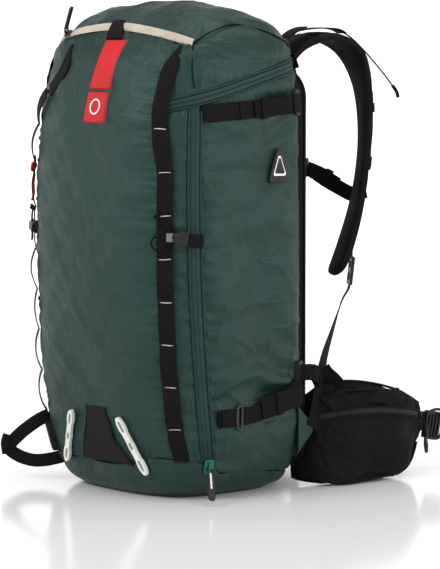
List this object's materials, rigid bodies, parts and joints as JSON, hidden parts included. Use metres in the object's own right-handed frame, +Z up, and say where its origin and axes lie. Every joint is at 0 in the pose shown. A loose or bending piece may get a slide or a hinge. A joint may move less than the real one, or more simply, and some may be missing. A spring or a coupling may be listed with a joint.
{
  "type": "ski backpack",
  "caption": "Tall ski touring backpack with a zipped crown lid, front tool pocket, side strap webbing, padded harness and hip belt with pockets.",
  "frame": {"origin": "middle of the flat base, where the pack stands", "axes": "+Z up, front panel towards -Y, wearer's side towards +Y, side with the long side zip towards +X"},
  "size_m": [0.3446, 0.486, 0.6025],
  "materials": {
    "shell_fabric": "ripstop nylon with a fine grid and soft wrinkles",
    "black_webbing": "woven nylon webbing with a ribbed edge",
    "black_pad": "padded stretch mesh and laminated foam",
    "inner_fabric": "plain light lining nylon",
    "teal_zip": "coated zip tape with a fine coil",
    "beige_zip": "reversed coil zip, matte",
    "red_fabric": "bright coated fabric tab",
    "red_cord": "thin braided cord",
    "rubber_patch": "embossed abrasion patch",
    "slider_metal": "lacquered zip slider",
    "dark_metal": "dark lacquered zip slider",
    "pull_plastic": "soft moulded zip pull",
    "buckle_plastic": "moulded acetal, slightly worn",
    "grey_plastic": "grey moulded cord lock",
    "toggle_plastic": "off-white moulded rubber, slightly grubby",
    "steel_ring": "bent steel wire",
    "frame_plastic": "extruded polyethylene sheet",
    "stay_aluminium": "flat bar"
  },
  "bodies": {
    "pack": {"front_panel": "shell_fabric", "side_gusset_right": "shell_fabric", "side_panel_right": "shell_fabric", "side_panel_left": "shell_fabric", "bottom_panel": "shell_fabric", "back_panel": "black_pad", "frame_sheet": "frame_plastic", "frame_stays": "stay_aluminium", "tool_divider": "inner_fabric", "side_zip_tape": "teal_zip", "main_zip_lower": "teal_zip", "daisy_chain_right": "black_webbing", "daisy_chain_left": "black_webbing", "wear_patches": "rubber_patch", "side_straps_right": "black_webbing", "side_straps_left": "black_webbing", "strap_buckles": "buckle_plastic", "shaft_holder_right": "black_webbing", "shaft_holder_left": "black_webbing", "red_cord": "red_cord", "anchor_wings": "shell_fabric", "lifter_buckles": "buckle_plastic", "cord_lock_right": "grey_plastic", "cord_lock_left": "grey_plastic"},
    "lid": {"lid": "shell_fabric", "main_zip_upper": "teal_zip", "front_zip_tape": "beige_zip", "red_tab": "red_fabric", "lid_webbing": "black_webbing"},
    "side_slider": {"side_slider": "slider_metal"},
    "side_pull": {"side_pull": "pull_plastic"},
    "front_slider": {"front_slider": "dark_metal"},
    "front_pull": {"front_pull": "pull_plastic"},
    "main_slider_right": {"main_slider_right": "slider_metal"},
    "main_slider_left": {"main_slider_left": "slider_metal"},
    "tool_toggle_right": {"tool_toggle_right": "toggle_plastic"},
    "tool_toggle_left": {"tool_toggle_left": "toggle_plastic"},
    "d_ring_right": {"d_ring_right": "steel_ring"},
    "d_ring_left": {"d_ring_left": "steel_ring"},
    "axe_loop": {"axe_loop": "black_webbing"},
    "cord_button_right": {"cord_button_right": "buckle_plastic"},
    "cord_button_left": {"cord_button_left": "buckle_plastic"},
    "strap_right": {"shoulder_pad_right": "black_pad", "strap_webbing_right": "black_webbing", "ladder_lock_right": "buckle_plastic", "load_lifter_right": "black_webbing"},
    "strap_left": {"shoulder_pad_left": "black_pad", "strap_webbing_left": "black_webbing", "ladder_lock_left": "buckle_plastic", "load_lifter_left": "black_webbing"},
    "sternum_right": {"sternum_strap_right": "black_webbing", "sternum_hook": "buckle_plastic"},
    "sternum_left": {"sternum_strap_left": "black_webbing"},
    "hip_right": {"hip_wing_right": "black_pad", "hip_pocket_right": "black_pad"},
    "hip_left": {"hip_wing_left": "black_pad", "hip_pocket_left": "black_pad"},
    "hip_buckle_right": {"hip_buckle_female": "buckle_plastic"},
    "hip_buckle_left": {"hip_buckle_male": "buckle_plastic"},
    "haul_loop": {"haul_loop": "black_webbing"}
  },
  "joints": [
    {"name": "lid_hinge", "type": "hinge", "parent": "pack", "child": "lid", "pos_m": [0, -0.121, 0.474], "axis": [1, 0, 0], "range_deg": [0, 110]},
    {"name": "side_slider_travel", "type": "hinge", "parent": "pack", "child": "side_slider", "pos_m": [-0.07921, 0.0571, 0.12471], "axis": [-0.4586, -0.8819, -0.1087], "range_deg": [0, 19]},
    {"name": "side_pull_pivot", "type": "hinge", "parent": "side_slider", "child": "side_pull", "pos_m": [0.14187, -0.0469, 0.0395], "axis": [0.2717, 0.9624, 0], "range_deg": [-70, 8]},
    {"name": "front_slider_travel", "type": "hinge", "parent": "lid", "child": "front_slider", "pos_m": [-0.05077, 0.11687, 0.49316], "axis": [-0.1135, 0.3614, 0.9255], "range_deg": [0, 12]},
    {"name": "front_pull_pivot", "type": "hinge", "parent": "front_slider", "child": "front_pull", "pos_m": [-0.0942, -0.07761, 0.5671], "axis": [-0.0079, -0.7057, -0.7085], "range_deg": [0, 95]},
    {"name": "main_slider_right_travel", "type": "slide", "parent": "pack", "child": "main_slider_right", "axis": [1, 0, 0], "range_m": [0, 0.02]},
    {"name": "main_slider_left_travel", "type": "slide", "parent": "pack", "child": "main_slider_left", "axis": [-1, 0, 0], "range_m": [0, 0.02]},
    {"name": "tool_toggle_right_turn", "type": "hinge", "parent": "pack", "child": "tool_toggle_right", "pos_m": [0.06869, -0.10802, 0.06588], "axis": [0.1378, -0.9648, -0.224], "range_deg": [-25, 25]},
    {"name": "tool_toggle_left_turn", "type": "hinge", "parent": "pack", "child": "tool_toggle_left", "pos_m": [-0.05237, -0.10977, 0.0659], "axis": [0.0743, 0.9727, 0.2198], "range_deg": [-25, 25]},
    {"name": "d_ring_right_swing", "type": "hinge", "parent": "pack", "child": "d_ring_right", "pos_m": [0.15462, -0.01303, 0.10089], "axis": [-0.0238, 0.0002, -0.9997], "range_deg": [0, 70]},
    {"name": "d_ring_left_swing", "type": "hinge", "parent": "pack", "child": "d_ring_left", "pos_m": [-0.15462, -0.01303, 0.10089], "axis": [-0.0238, -0.0002, 0.9997], "range_deg": [0, 70]},
    {"name": "axe_loop_swing", "type": "hinge", "parent": "pack", "child": "axe_loop", "pos_m": [-0.126, -0.094, 0.04], "axis": [0, 0, 1], "range_deg": [-20, 20]},
    {"name": "cord_button_right_press", "type": "slide", "parent": "pack", "child": "cord_button_right", "axis": [-0.761, -0.6488, 0], "range_m": [0, 0.002], "stiffness_N_per_m": 400},
    {"name": "cord_button_left_press", "type": "slide", "parent": "pack", "child": "cord_button_left", "axis": [0.761, -0.6488, 0], "range_m": [0, 0.002], "stiffness_N_per_m": 400},
    {"name": "strap_right_swing", "type": "hinge", "parent": "pack", "child": "strap_right", "pos_m": [0.09, 0.115, 0.506], "axis": [0.1327, 0.0232, -0.9909], "range_deg": [0, 30], "deforming": ["load_lifter_right"]},
    {"name": "strap_left_swing", "type": "hinge", "parent": "pack", "child": "strap_left", "pos_m": [-0.09, 0.115, 0.506], "axis": [0.1327, -0.0232, 0.9909], "range_deg": [0, 30], "deforming": ["load_lifter_left"]},
    {"name": "sternum_right_swing", "type": "hinge", "parent": "strap_right", "child": "sternum_right", "pos_m": [0.076, 0.278, 0.362], "axis": [0, 0, -1], "range_deg": [0, 60]},
    {"name": "sternum_left_swing", "type": "hinge", "parent": "strap_left", "child": "sternum_left", "pos_m": [-0.076, 0.278, 0.367], "axis": [0, 0, 1], "range_deg": [0, 60]},
    {"name": "hip_right_fold", "type": "hinge", "parent": "pack", "child": "hip_right", "pos_m": [0.121, 0.124, 0.06], "axis": [0, 0, 1], "range_deg": [-3, 25]},
    {"name": "hip_left_fold", "type": "hinge", "parent": "pack", "child": "hip_left", "pos_m": [-0.121, 0.124, 0.06], "axis": [0, 0, -1], "range_deg": [-3, 25]},
    {"name": "hip_buckle_right_turn", "type": "hinge", "parent": "hip_right", "child": "hip_buckle_right", "pos_m": [0.1365, 0.319, 0.064], "axis": [0, 0, 1], "range_deg": [-30, 30]},
    {"name": "hip_buckle_left_turn", "type": "hinge", "parent": "hip_left", "child": "hip_buckle_left", "pos_m": [-0.1365, 0.319, 0.064], "axis": [0, 0, -1], "range_deg": [-30, 30]},
    {"name": "haul_loop_swing", "type": "hinge", "parent": "pack", "child": "haul_loop", "pos_m": [0, 0.117, 0.499], "axis": [-1, 0, 0], "range_deg": [0, 75]}
  ]
}
